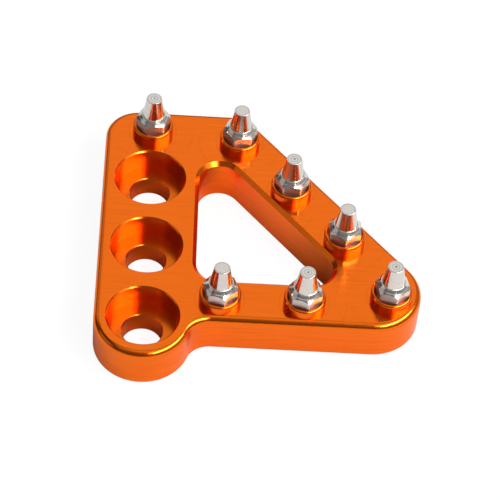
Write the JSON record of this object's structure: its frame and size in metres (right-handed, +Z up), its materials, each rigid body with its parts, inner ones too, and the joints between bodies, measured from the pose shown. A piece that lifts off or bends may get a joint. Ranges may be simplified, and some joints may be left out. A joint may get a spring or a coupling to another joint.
{
  "type": "brake pedal tip",
  "caption": "Triangular milled foot plate with counterbored mounting holes, a rounded window and blunt hex grip studs on raised bosses.",
  "frame": {"origin": "on the middle mounting hole's axis, in the plane of the underside that sits on the pedal arm", "axes": "+Z up along the mounting holes, out of the gripping side; +Y along the row of holes, away from the round lobe; +X from the row of holes towards the nose"},
  "size_m": [0.066, 0.0663, 0.0194],
  "materials": {
    "orange_anodised_aluminium": "milled and anodised orange",
    "polished_stainless_steel": "turned and polished"
  },
  "bodies": {
    "root": {"pedal_plate": "orange_anodised_aluminium", "stud_1": "polished_stainless_steel", "stud_2": "polished_stainless_steel", "stud_3": "polished_stainless_steel", "stud_4": "polished_stainless_steel", "stud_5": "polished_stainless_steel", "stud_6": "polished_stainless_steel", "stud_7": "polished_stainless_steel"}
  },
  "joints": []
}
